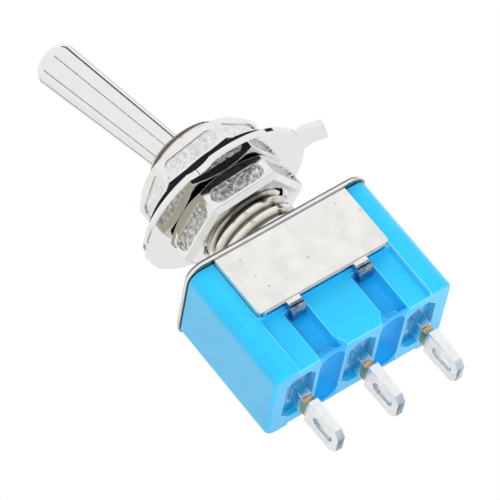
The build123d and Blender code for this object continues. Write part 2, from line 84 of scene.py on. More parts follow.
class Side(Enum):
    """Where a terminal stands in its row."""

    LEFT = "left"
    CENTRE = "centre"
    RIGHT = "right"


# ---- node helpers -----------------------------------------------------------
class Canvas:
    """A node tree with short calls to add and join its nodes."""

    def __init__(self, tree: bpy.types.NodeTree) -> None:
        """Start on an emptied tree.

        Args:
            tree: the node tree to fill.
        """
        self.tree = tree
        tree.nodes.clear()

    def add(self, kind: str, **settings: object) -> bpy.types.Node:
        """Add a node.

        Args:
            kind: the node's type, without the ShaderNode prefix, or a full type name.
            settings: attributes to set; a key that starts with in_ sets that input.

        Returns:
            The new node.
        """
        name = kind if kind.startswith("Node") else "ShaderNode" + kind
        node = self.tree.nodes.new(name)
        for key, value in settings.items():
            if key.startswith("in_"):
                node.inputs[key[3:].replace("_", " ")].default_value = value
            else:
                setattr(node, key, value)
        return node

    def join(self, source: bpy.types.NodeSocket, target: bpy.types.NodeSocket) -> None:
        """Link one socket to another."""
        self.tree.links.new(source, target)

    def math(self, operation: str, first: object, second: object = 0.0) -> bpy.types.NodeSocket:
        """Add a Math node.

        Args:
            operation: the operation's name.
            first: a socket or a number.
            second: a socket or a number.

        Returns:
            The node's output.
        """
        node = self.add("Math", operation=operation)
        for index, value in enumerate((first, second)):
            if isinstance(value, bpy.types.NodeSocket):
                self.join(value, node.inputs[index])
            else:
                node.inputs[index].default_value = value
        return node.outputs[0]

    def blend(self, factor: bpy.types.NodeSocket, low: object,
              high: object) -> bpy.types.NodeSocket:
        """Mix two colours.

        Args:
            factor: share of the second colour.
            low: the first colour, a socket or three numbers.
            high: the second colour, a socket or three numbers.

        Returns:
            The mixed colour.
        """
        node = self.add("Mix", data_type="RGBA")
        for name, value in (("Factor_Float", factor), ("A_Color", low), ("B_Color", high)):
            socket = next(s for s in node.inputs if s.identifier == name)
            if isinstance(value, bpy.types.NodeSocket):
                self.join(value, socket)
            else:
                socket.default_value = (*value, 1.0)
        return next(s for s in node.outputs if s.identifier == "Result_Color")

    def remap(self, value: bpy.types.NodeSocket, span: Sequence[float], out: Sequence[float],
              smooth: bool = False) -> bpy.types.NodeSocket:
        """Map a value from one range to another, held at the ends.

        Args:
            value: the value to map.
            span: its low and high end.
            out: what those ends become.
            smooth: whether the way between them eases in and out.

        Returns:
            The mapped value.
        """
        node = self.add("MapRange", interpolation_type="SMOOTHSTEP" if smooth else "LINEAR")
        self.join(value, node.inputs["Value"])
        for name, number in zip(("From Min", "From Max", "To Min", "To Max"), (*span, *out)):
            node.inputs[name].default_value = number
        return node.outputs["Result"]

    def length_of(self, vector: bpy.types.NodeSocket) -> bpy.types.NodeSocket:
        """Give a vector's length.

        Args:
            vector: the vector.

        Returns:
            The length.
        """
        node = self.add("VectorMath", operation="LENGTH")
        self.join(vector, node.inputs[0])
        return node.outputs["Value"]

    def height_of(self, point: bpy.types.NodeSocket) -> bpy.types.NodeSocket:
        """Give a point's height along Z.

        Args:
            point: the point.

        Returns:
            The height.
        """
        node = self.add("SeparateXYZ")
        self.join(point, node.inputs[0])
        return node.outputs["Z"]

    def mix_shaders(self, factor: bpy.types.NodeSocket, first: bpy.types.Node,
                    second: bpy.types.Node) -> bpy.types.Node:
        """Mix two shaders.

        Args:
            factor: share of the second shader.
            first: the first shader.
            second: the second shader.

        Returns:
            The mixing node.
        """
        node = self.add("MixShader")
        for index, source in enumerate((factor, first.outputs[0], second.outputs[0])):
            self.join(source, node.inputs[index])
        return node

    def output(self, shader: bpy.types.Node, kind: str = "OutputMaterial") -> None:
        """Give a shader to the tree's output node, added as the given kind."""
        self.join(shader.outputs[0], self.add(kind).inputs["Surface"])


def new_material(name: str) -> tuple[bpy.types.Material, Canvas]:
    """Make a material with an emptied tree.

    Args:
        name: the material's name.

    Returns:
        The material and the canvas of its tree.
    """
    material = bpy.data.materials.new(name)
    material.use_nodes = True
    return material, Canvas(material.node_tree)


def new_group(name: str, inputs: dict[str, tuple[str, object]],
              outputs: dict[str, str]) -> Canvas:
    """Make a node group with named sockets.

    Args:
        name: the group's name.
        inputs: each input's name, socket type and default (None for a vector).
        outputs: each output's name and socket type.

    Returns:
        The canvas of the group's tree.
    """
    tree = bpy.data.node_groups.new(name, "ShaderNodeTree")
    for label, (kind, default) in inputs.items():
        socket = tree.interface.new_socket(label, in_out="INPUT", socket_type="NodeSocket" + kind)
        if default is not None:
            socket.default_value = default
    for label, kind in outputs.items():
        tree.interface.new_socket(label, in_out="OUTPUT", socket_type="NodeSocket" + kind)
    return Canvas(tree)


@dataclass
class Effects:
    """Node groups that several finishes share. They put out masks and heights only."""

    cloud_detail: float = 3.0
    cloud_roughness: float = 0.55
    grain_detail: float = 2.0
    grain_roughness: float = 0.6
    pit_fade: float = 0.06

    def __post_init__(self) -> None:
        """Build the groups once."""
        self.mottle = self._mottle()
        self.grain = self._grain()
        self.speck = self._speck()

    def _mottle(self) -> bpy.types.NodeTree:
        """Make soft cloudy patches, as plating shows.

        Returns:
            The group.
        """
        canvas = new_group("cloudy_mottle", {
            "Vector": ("Vector", None), "Patch Size": ("Float", MM),
            "Contrast": ("Float", 1.0)}, {"Mask": "Float"})
        start, end = canvas.add("NodeGroupInput"), canvas.add("NodeGroupOutput")
        noise = canvas.add("TexNoise", in_Detail=self.cloud_detail,
                           in_Roughness=self.cloud_roughness)
        canvas.join(start.outputs["Vector"], noise.inputs["Vector"])
        canvas.join(canvas.math("DIVIDE", 1.0, start.outputs["Patch Size"]), noise.inputs["Scale"])
        centred = canvas.math("SUBTRACT", noise.outputs[0], 0.5)
        spread = canvas.math("MULTIPLY", centred, start.outputs["Contrast"])
        canvas.join(canvas.math("ADD", spread, 0.5), end.inputs["Mask"])
        return canvas.tree

    def _grain(self) -> bpy.types.NodeTree:
        """Make fine grain, drawn out along the axes by its stretch.

        Returns:
            The group.
        """
        canvas = new_group("fine_grain", {
            "Vector": ("Vector", None), "Stretch": ("Vector", None),
            "Grain Size": ("Float", 0.05 * MM)}, {"Height": "Float"})
        start, end = canvas.add("NodeGroupInput"), canvas.add("NodeGroupOutput")
        scaled = canvas.add("VectorMath", operation="MULTIPLY")
        canvas.join(start.outputs["Vector"], scaled.inputs[0])
        canvas.join(start.outputs["Stretch"], scaled.inputs[1])
        noise = canvas.add("TexNoise", in_Detail=self.grain_detail,
                           in_Roughness=self.grain_roughness)
        canvas.join(scaled.outputs[0], noise.inputs["Vector"])
        canvas.join(canvas.math("DIVIDE", 1.0, start.outputs["Grain Size"]), noise.inputs["Scale"])
        canvas.join(noise.outputs[0], end.inputs["Height"])
        return canvas.tree

    def _speck(self) -> bpy.types.NodeTree:
        """Make small sparse specks.

        Returns:
            The group.
        """
        canvas = new_group("sparse_pits", {
            "Vector": ("Vector", None), "Spacing": ("Float", MM),
            "Share": ("Float", 0.1)}, {"Mask": "Float"})
        start, end = canvas.add("NodeGroupInput"), canvas.add("NodeGroupOutput")
        cells = canvas.add("TexVoronoi", feature="F1", in_Randomness=1.0)
        canvas.join(start.outputs["Vector"], cells.inputs["Vector"])
        canvas.join(canvas.math("DIVIDE", 1.0, start.outputs["Spacing"]), cells.inputs["Scale"])
        near = canvas.math("SUBTRACT", start.outputs["Share"], cells.outputs["Distance"])
        mask = canvas.remap(near, (0.0, self.pit_fade), (0.0, 1.0), smooth=True)
        canvas.join(mask, end.inputs["Mask"])
        return canvas.tree


EFFECTS = Effects()


# ---- finishes ---------------------------------------------------------------
@dataclass(frozen=True)
class Finish:
    """A finish: colour, gloss and the small variation that it shows."""

    name: str
    color: Color
    shade: Color
    roughness: float
    roughness_spread: float = 0.06
    patch: float = 1.2 * MM
    contrast: float = 1.6
    grain: float = 0.06 * MM
    grain_stretch: tuple[float, float, float] = (1.0, 1.0, 1.0)
    grain_depth: float = 0.002 * MM
    mask_span: tuple[float, float] = (0.2, 0.8)

    def _shader(self, shader: bpy.types.Node) -> None:
        """Set the shader's own constant sockets; each kind of finish has its own."""

    def _color(self, canvas: Canvas, point: bpy.types.NodeSocket,
               mottled: bpy.types.NodeSocket) -> bpy.types.NodeSocket:
        """Give the colour that goes to the shader; here it is the mottled colour."""
        return mottled

    def build(self) -> bpy.types.Material:
        """Make the material.

        Returns:
            The material, with its own shader and the shared effects.
        """
        material, canvas = new_material(self.name)
        point = canvas.add("TexCoord").outputs["Object"]
        mottle = canvas.add("Group", node_tree=EFFECTS.mottle)
        mottle.inputs["Patch Size"].default_value = self.patch
        mottle.inputs["Contrast"].default_value = self.contrast
        grain = canvas.add("Group", node_tree=EFFECTS.grain)
        grain.inputs["Stretch"].default_value = self.grain_stretch
        grain.inputs["Grain Size"].default_value = self.grain
        for group in (mottle, grain):
            canvas.join(point, group.inputs["Vector"])
        mask = mottle.outputs["Mask"]
        shader = canvas.add("BsdfPrincipled")
        color = self._color(canvas, point, canvas.blend(mask, self.shade, self.color))
        canvas.join(color, shader.inputs["Base Color"])
        half = self.roughness_spread / 2
        ends = (self.roughness + half, self.roughness - half)
        canvas.join(canvas.remap(mask, self.mask_span, ends), shader.inputs["Roughness"])
        bump = canvas.add("Bump", in_Strength=1.0, in_Distance=self.grain_depth)
        canvas.join(grain.outputs["Height"], bump.inputs["Height"])
        canvas.join(bump.outputs[0], shader.inputs["Normal"])
        self._shader(shader)
        canvas.output(shader)
        return material


@dataclass(frozen=True)
class Plated(Finish):
    """Plated or bare metal."""

    def _shader(self, shader: bpy.types.Node) -> None:
        """Make the surface a metal."""
        shader.inputs["Metallic"].default_value = 1.0


@dataclass(frozen=True)
class PaintedShadeThread(Plated):
    """Plated metal with painted shade: its colour darkens to brown towards the root of a screw
    thread about Z.
    """

    # root: colour of the painted shade in the thread's roots
    root: Color = (0.24, 0.21, 0.15)
    root_r: float = 2.62 * MM
    crest_r: float = 2.92 * MM

    def _color(self, canvas: Canvas, point: bpy.types.NodeSocket,
               mottled: bpy.types.NodeSocket) -> bpy.types.NodeSocket:
        """Mix a painted brown shade into the plating towards the root, by the distance from the
        axis.

        Args:
            canvas: the material's canvas.
            point: position on the piece.
            mottled: the plating's colour.

        Returns:
            The colour of crest and root.
        """
        level = canvas.add("VectorMath", operation="MULTIPLY")
        canvas.join(point, level.inputs[0])
        level.inputs[1].default_value = (1.0, 1.0, 0.0)
        radius = canvas.length_of(level.outputs[0])
        crest = canvas.remap(radius, (self.root_r, self.crest_r), (0.0, 1.0), smooth=True)
        return canvas.blend(crest, self.root, mottled)


@dataclass(frozen=True)
class SpeckledSheet(Plated):
    """Plated sheet with a scatter of small dull specks, and dark lines of painted reflection and
    shade along its fold and its flap's lower edge.
    """

    speck: Color = (0.42, 0.42, 0.41)
    spacing: float = 0.9 * MM
    share: float = 0.12
    speck_strength: float = 0.7
    mark_core: float = 3.0
    # painted reflection and shade: dark lines at the top of the fold, below its pale band, and
    # just above the flap's lower edge
    painted_line_shade: Color = (0.16, 0.16, 0.17)
    painted_lines: tuple[tuple[float, float, float], ...] = (
        (-0.16 * MM, 0.15 * MM, 0.95), (-0.54 * MM, 0.12 * MM, 0.8),
        (-5.30 * MM, 0.07 * MM, 0.6))

    def _color(self, canvas: Canvas, point: bpy.types.NodeSocket,
               mottled: bpy.types.NodeSocket) -> bpy.types.NodeSocket:
        """Dot the plating's colour with specks, and paint dark lines of reflection and shade.

        The painted lines are level lines, each with its height, half width and strength. A
        line is at its strongest up to its half width over mark_core from its middle.

        Args:
            canvas: the material's canvas.
            point: position on the piece.
            mottled: the plating's colour.

        Returns:
            The colour of sheet, specks and painted lines.
        """
        specks = canvas.add("Group", node_tree=EFFECTS.speck)
        specks.inputs["Spacing"].default_value = self.spacing
        specks.inputs["Share"].default_value = self.share
        canvas.join(point, specks.inputs["Vector"])
        specked = canvas.math("MULTIPLY", specks.outputs["Mask"], self.speck_strength)
        color = canvas.blend(specked, mottled, self.speck)
        level = canvas.height_of(point)
        for height, half, strength in self.painted_lines:
            away = canvas.math("ABSOLUTE", canvas.math("SUBTRACT", level, height))
            line = canvas.remap(away, (half / self.mark_core, half), (strength, 0.0), smooth=True)
            color = canvas.blend(line, color, self.painted_line_shade)
        return color


@dataclass(frozen=True)
class PlatedBrass(Plated):
    """Plated brass whose plating ends in a band where bare brass shows."""

    brass: Color = (0.62, 0.42, 0.20)
    band_low: float = -10.8 * MM
    band_high: float = -10.25 * MM
    band_fade: float = 0.12 * MM

    def _color(self, canvas: Canvas, point: bpy.types.NodeSocket,
               mottled: bpy.types.NodeSocket) -> bpy.types.NodeSocket:
        """Mix brass into the plating inside the band.

        Args:
            canvas: the material's canvas.
            point: position on the piece.
            mottled: the plating's colour.

        Returns:
            The colour of plating and brass.
        """
        height, fade = canvas.height_of(point), self.band_fade
        above = canvas.remap(height, (self.band_low - fade, self.band_low + fade), (0.0, 1.0),
                             smooth=True)
        below = canvas.remap(height, (self.band_high - fade, self.band_high + fade), (1.0, 0.0),
                             smooth=True)
        return canvas.blend(canvas.math("MULTIPLY", above, below), mottled, self.brass)


@dataclass(frozen=True)
class Moulded(Finish):
    """Moulded plastic."""

    ior: float = 1.5
    specular: float = 0.4
    sheen: float = 0.0
    sheen_roughness: float = 0.45

    def _shader(self, shader: bpy.types.Node) -> None:
        """Set the plastic's gloss and the pale bloom that it shows at a low angle.

        Args:
            shader: the material's shader.
        """
        shader.inputs["IOR"].default_value = self.ior
        shader.inputs["Specular IOR Level"].default_value = self.specular
        shader.inputs["Sheen Weight"].default_value = self.sheen
        shader.inputs["Sheen Roughness"].default_value = self.sheen_roughness


@dataclass(frozen=True)
class PouredResin(Finish):
    """Tinted poured resin."""

    coat: float = 0.6
    coat_roughness: float = 0.04

    def _shader(self, shader: bpy.types.Node) -> None:
        """Add a wet coat over the uneven surface."""
        shader.inputs["Coat Weight"].default_value = self.coat
        shader.inputs["Coat Roughness"].default_value = self.coat_roughness


FINISHES = {finish.name: finish for finish in (
    Plated("bright_nickel_lever", (0.84, 0.84, 0.83), (0.79, 0.79, 0.77), 0.1, 0.05,
           grain_stretch=(1.0, 1.0, 0.06), grain=0.05 * MM, grain_depth=0.0008 * MM),
    # the bushing's thread roots get a painted brown shade
    PaintedShadeThread("bright_nickel_bushing", (0.84, 0.83, 0.79), (0.76, 0.75, 0.70), 0.16),
    Plated("nickel_nut", (0.87, 0.87, 0.86), (0.78, 0.78, 0.76), 0.12, 0.08, patch=0.9 * MM),
    # one stamped recess finish in two copies: the lower nut's is darker and more contrasted,
    # painted shade under the ring
    Plated("light_stamping", (0.90, 0.90, 0.89), (0.66, 0.66, 0.65), 0.2, 0.1, patch=0.3 * MM,
           contrast=2.4, grain=0.26 * MM, grain_depth=0.035 * MM),
    Plated("deep_stamping_painted_shade", (0.80, 0.80, 0.79), (0.34, 0.34, 0.33), 0.1, 0.08, patch=0.28 * MM,
           contrast=3.4, grain=0.3 * MM, grain_depth=0.16 * MM),
    Plated("polished_ring", (0.85, 0.85, 0.84), (0.81, 0.81, 0.80), 0.07, 0.03,
           grain_depth=0.0003 * MM),
    # nearly black: painted shade for the dark gap between the ring and the upper nut
    Plated("washer_steel", (0.022, 0.022, 0.024), (0.016, 0.016, 0.018), 0.3),
    # its dark lines at the fold and the flap's lower edge are painted reflection and shade
    SpeckledSheet("satin_cover", (0.92, 0.905, 0.885), (0.83, 0.82, 0.80), 0.33, 0.1,
                  patch=1.3 * MM, contrast=2.4, grain_depth=0.003 * MM),
    # the hooks' blue-grey is painted reflection of the blue moulding, their dark tone painted
    # shade
    Plated("hook_painted_reflection_shade", (0.36, 0.45, 0.56), (0.10, 0.16, 0.26), 0.14, 0.08, patch=0.3 * MM,
           contrast=2.8),
    Moulded("blue_moulding", (0.008, 0.53, 0.90), (0.006, 0.47, 0.86), 0.33, 0.08,
            patch=2.0 * MM, grain=0.08 * MM, grain_depth=0.0015 * MM, sheen=0.5),
    # darker blue for the walls of the grooves and channels: painted shade
    Moulded("blue_moulding_painted_shade", (0.003, 0.42, 0.85), (0.002, 0.37, 0.81), 0.36, 0.08,
            patch=2.0 * MM, grain=0.08 * MM, grain_depth=0.0015 * MM, sheen=0.3),
    # paler blue on the rounded outward edges: painted highlight
    Moulded("blue_moulding_painted_highlight", (0.13, 0.74, 0.98), (0.09, 0.68, 0.96), 0.25, 0.06, sheen=0.6),
    PlatedBrass("silvered_terminal", (0.92, 0.925, 0.93), (0.82, 0.83, 0.84), 0.25, 0.12,
                patch=0.6 * MM, grain_depth=0.001 * MM),
    Plated("contact_silver", (0.88, 0.88, 0.86), (0.8, 0.8, 0.78), 0.25),
    Plated("rocker_silver", (0.85, 0.84, 0.80), (0.76, 0.75, 0.70), 0.28),
    Moulded("nylon_plunger", (0.86, 0.84, 0.76), (0.82, 0.80, 0.72), 0.45),
    Plated("spring_wire", (0.62, 0.62, 0.60), (0.5, 0.5, 0.48), 0.3),
    # the resin's blue tint is its own; its dark blue patches are painted shade for the shadow in
    # the terminal pockets
    PouredResin("poured_seal", (0.010, 0.44, 0.78), (0.004, 0.13, 0.42), 0.2, 0.1, patch=1.1 * MM,
                contrast=3.4, grain=0.5 * MM, grain_depth=0.025 * MM),
)}


# ---- shaping helpers --------------------------------------------------------
def only(obj: bpy.types.Object) -> bpy.types.Object:
    """Select one object alone and make it active.

    Args:
        obj: the object.

    Returns:
        The same object.
    """
    bpy.ops.object.select_all(action="DESELECT")
    obj.select_set(True)
    bpy.context.view_layer.objects.active = obj
    return obj


@contextmanager
def editing(obj: bpy.types.Object) -> Iterator[None]:
    """Hold one object alone in edit mode.

    Args:
        obj: the object.

    Yields:
        Nothing; the object goes back to object mode at the end.
    """
    only(obj)
    bpy.ops.object.mode_set(mode="EDIT")
    yield
    bpy.ops.object.mode_set(mode="OBJECT")


def add_primitive(operator: Callable[..., object], **settings: object) -> bpy.types.Object:
    """Add a primitive while nothing else is selected.

    Args:
        operator: the operator that adds it.
        settings: its size and place.

    Returns:
        The new object.
    """
    bpy.ops.object.select_all(action="DESELECT")
    operator(**settings)
    return bpy.context.object


def link_new(name: str, data: bpy.types.ID) -> bpy.types.Object:
    """Make an object for a mesh, lamp or camera and link it to the scene.

    Args:
        name: the object's name.
        data: what it shows.

    Returns:
        The new object.
    """
    obj = bpy.data.objects.new(name, data)
    bpy.context.scene.collection.objects.link(obj)
    return obj


def select_verts(obj: bpy.types.Object, chosen: Callable[[Vector], bool]) -> None:
    """Select an object's vertices by their place, and nothing else of it.

    Args:
        obj: the object.
        chosen: says for a place whether its vertex is selected.
    """
    only(obj)
    mesh = obj.data
    for items in (mesh.polygons, mesh.edges):
        items.foreach_set("select", [False] * len(items))
    for vertex in mesh.vertices:
        vertex.select = chosen(vertex.co)


def apply_modifier(obj: bpy.types.Object, kind: str, **settings: object) -> None:
    """Add a modifier and apply it.

    Args:
        obj: the object.
        kind: the modifier's type.
        settings: its attributes.
    """
    only(obj)
    modifier = obj.modifiers.new(kind.lower(), kind)
    for key, value in settings.items():
        setattr(modifier, key, value)
    bpy.ops.object.modifier_apply(modifier=modifier.name)


def copy_of(node: str, name: str) -> bpy.types.Object:
    """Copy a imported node's mesh as a new piece, with its loose triangles merged.

    Args:
        node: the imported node.
        name: the new piece's name.

    Returns:
        The new piece.
    """
    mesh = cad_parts[node].data.copy()
    mesh.name = name
    piece = only(link_new(name, mesh))
    bpy.ops.mesh.customdata_custom_splitnormals_clear()
    merge_faces(piece)
    return piece


def merge_faces(piece: bpy.types.Object) -> None:
    """Merge a piece's doubled vertices and join its faces that lie in one plane.

    Args:
        piece: the piece.
    """
    with editing(piece):
        bpy.ops.mesh.select_all(action="SELECT")
        bpy.ops.mesh.remove_doubles(threshold=MERGE_DISTANCE)
        bpy.ops.mesh.dissolve_limited(angle_limit=ONE_PLANE)


def combine(piece: bpy.types.Object, tool: bpy.types.Object, operation: str) -> None:
    """Add a tool to a piece or cut it away, and delete the tool.

    Args:
        piece: the piece.
        tool: the object that is added or cut away.
        operation: UNION or DIFFERENCE.
    """
    apply_modifier(piece, "BOOLEAN", operation=operation, solver="EXACT", object=tool)
    bpy.data.objects.remove(tool)


def smooth_faces(piece: bpy.types.Object) -> None:
    """Smooth a piece's round faces and keep its flat ones flat.

    Args:
        piece: the piece.
    """
    only(piece)
    bpy.ops.object.shade_smooth_by_angle(angle=SHARP_ANGLE)
    apply_modifier(piece, "WEIGHTED_NORMAL", keep_sharp=True, weight=NORMAL_WEIGHT)


def soften(piece: bpy.types.Object, width: float) -> None:
    """Round a piece's sharp edges a little and smooth its faces.

    Args:
        piece: the piece.
        width: width of the rounding.
    """
    apply_modifier(piece, "BEVEL", width=width, segments=ROUNDING_FACES, limit_method="ANGLE",
                   angle_limit=SHARP_ANGLE, use_clamp_overlap=True, harden_normals=False)
    smooth_faces(piece)


def select_outward_edges(obj: bpy.types.Object) -> None:
    """Select an object's edges that turn outward past CORNER_ANGLE, and nothing else of it.

    Args:
        obj: the object.
    """
    select_verts(obj, lambda co: False)
    mesh = obj.data
    sides: dict[int, list[tuple[Vector, Vector]]] = {}
    for face in mesh.polygons:
        loops = [mesh.loops[index] for index in face.loop_indices]
        for loop, after in zip(loops, loops[1:] + loops[:1]):
            along = mesh.vertices[after.vertex_index].co - mesh.vertices[loop.vertex_index].co
            sides.setdefault(loop.edge_index, []).append((face.normal, along))
    limit = math.cos(CORNER_ANGLE)
    for edge in mesh.edges:
        pair = sides.get(edge.index, [])
        if len(pair) == 2:
            (first, along), (second, _) = pair
            outward = first.cross(second).dot(along) > 0
            edge.select = outward and first.dot(second) < limit


def bevel_outward(piece: bpy.types.Object, width: float, slot: int) -> None:
    """Round a piece's sharp outward edges, whose new faces take a material slot.

    Args:
        piece: the piece.
        width: width of the rounding.
        slot: index of the material slot.
    """
    while len(piece.data.materials) <= slot:
        piece.data.materials.append(None)
    bpy.context.tool_settings.mesh_select_mode = (False, True, False)
    select_outward_edges(piece)
    with editing(piece):
        bpy.ops.mesh.bevel(offset=width, segments=ROUNDING_FACES, material=slot,
                           clamp_overlap=False)
    bpy.context.tool_settings.mesh_select_mode = (True, False, False)
    smooth_faces(piece)


def finish_piece(piece: bpy.types.Object, finishes: Sequence[str], body: str,
                 nodes: Sequence[str]) -> None:
    """Dress a new piece and put it on its body.

    Args:
        piece: the piece.
        finishes: the finishes' names, in the order of its faces' slots.
        body: the body it rides on.
        nodes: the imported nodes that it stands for.
    """
    slots = [face.material_index for face in piece.data.polygons]
    piece.data.materials.clear()
    for finish in finishes:
        piece.data.materials.append(material_of(finish))
    piece.data.polygons.foreach_set("material_index", slots)
    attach(piece, body)
    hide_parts(*nodes)
    log.info("%s: %d faces on %s", piece.name, len(piece.data.polygons), body)


@cache
def material_of(finish: str) -> bpy.types.Material:
    """Give the material of a finish, built when it is first asked for."""
    return FINISHES[finish].build()


def dress_node(node: str, finish: str) -> None:
    """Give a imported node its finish.

    Args:
        node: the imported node.
        finish: the finish's name.
    """
    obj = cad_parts[node]
    for slot in obj.material_slots:
        slot.material = material_of(finish)
    log.info("%s: dressed in %s", node, finish)


# ---- sub-assemblies ---------------------------------------------------------
@dataclass
class ThreadedBushing:
    """The bushing with its cut screw thread."""

    pitch: float = 0.75 * MM
    depth: float = 0.36 * MM
    root_flat: float = 0.08 * MM
    crest_flat: float = 0.26 * MM
    overshoot: float = 0.03 * MM
    steps: int = 64
    sharp_angle: float = 30.0

    @staticmethod
    def _set_edge(cutter: bpy.types.Object, radius: float, factor: float, height: float) -> None:
        """Scale one upright edge of the cutter's profile along Z.

        Args:
            cutter: the cutter.
            radius: where the edge stands.
            factor: scale of its length.
            height: middle of the edge.
        """
        select_verts(cutter, lambda co: abs(co.x - radius) < SAME_PLACE)
        with editing(cutter):
            bpy.ops.transform.resize(value=(1, 1, factor), center_override=(radius, 0, height))

    def groove_cutter(self) -> bpy.types.Object:
        """Make the closed spiral that cuts the thread.

        Returns:
            The cutter.
        """
        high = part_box("bushing")[1]
        half_mouth = (self.pitch - self.crest_flat) / 2
        lean = (half_mouth - self.root_flat / 2) / self.depth
        half_outer = half_mouth + lean * self.overshoot
        reach = self.depth + self.overshoot
        root_r, start = high.x - self.depth, -self.pitch
        cutter = add_primitive(bpy.ops.mesh.primitive_plane_add, size=reach,
                               rotation=(math.pi / 2, 0, 0),
                               location=(root_r + reach / 2, 0, start))
        cutter.name = "groove_cutter"
        bpy.ops.object.transform_apply(location=True, rotation=True, scale=False)
        for edge_r, half in ((root_r, self.root_flat / 2), (root_r + reach, half_outer)):
            self._set_edge(cutter, edge_r, 2 * half / reach, start)
        with editing(cutter):
            bpy.ops.mesh.select_all(action="SELECT")
            bpy.ops.mesh.delete(type="ONLY_FACE")
        turns = math.ceil((high.z - start) / self.pitch) + 1
        apply_modifier(cutter, "SCREW", axis="Z", angle=2 * math.pi, screw_offset=self.pitch,
                       iterations=turns, steps=self.steps, render_steps=self.steps)
        with editing(cutter):
            bpy.ops.mesh.select_all(action="SELECT")
            bpy.ops.mesh.remove_doubles(threshold=MERGE_DISTANCE)
            bpy.ops.mesh.fill_holes(sides=0)
            bpy.ops.mesh.select_all(action="SELECT")
            bpy.ops.mesh.normals_make_consistent(inside=False)
        return cutter

    def build(self) -> None:
        """Cut the thread into a copy of the bushing and dress it."""
        piece = copy_of("bushing", "bushing_threaded")
        combine(piece, self.groove_cutter(), "DIFFERENCE")
        only(piece)
        bpy.ops.object.shade_smooth_by_angle(angle=math.radians(self.sharp_angle))
        finish_piece(piece, ["bright_nickel_bushing"], "case", ["bushing"])


@dataclass
class PanelHardware:
    """The two nuts, the locating ring and the lock washer."""

    nut_edge: float = 0.06 * MM
    half_flats: float = 4.0 * MM
    panel_depth: float = 0.1 * MM
    panel_match: float = 0.025 * MM
    upright_z: float = 0.05
    panel_slot: int = 1

    def stamp_panels(self, piece: bpy.types.Object) -> None:
        """Put the floors of a nut's pressed recesses in a slot of their own.

        Args:
            piece: the nut, whose recess floors lie panel_depth behind its flats.
        """
        piece.data.materials.append(None)
        floor_r = self.half_flats - self.panel_depth
        for face in piece.data.polygons:
            upright = abs(face.normal.z) < self.upright_z
            facing = face.normal.x * face.center.x + face.normal.y * face.center.y
            if upright and abs(facing - floor_r) < self.panel_match:
                face.material_index = self.panel_slot

    def build(self) -> None:
        """Round the nuts' edges and dress all four pieces."""
        # the lower nut's recesses take the copy with painted shade
        for side, panel in (("lower", "deep_stamping_painted_shade"), ("upper", "light_stamping")):
            piece = copy_of("nut_" + side, f"nut_{side}_plated")
            soften(piece, self.nut_edge)
            self.stamp_panels(piece)
            finish_piece(piece, ["nickel_nut", panel], side + "_nut_body",
                         ["nut_" + side])
        dress_node("locating_ring", "polished_ring")
        # the lock washer's near-black is painted shade in the gap between the ring and the upper
        # nut
        dress_node("lock_washer", "washer_steel")


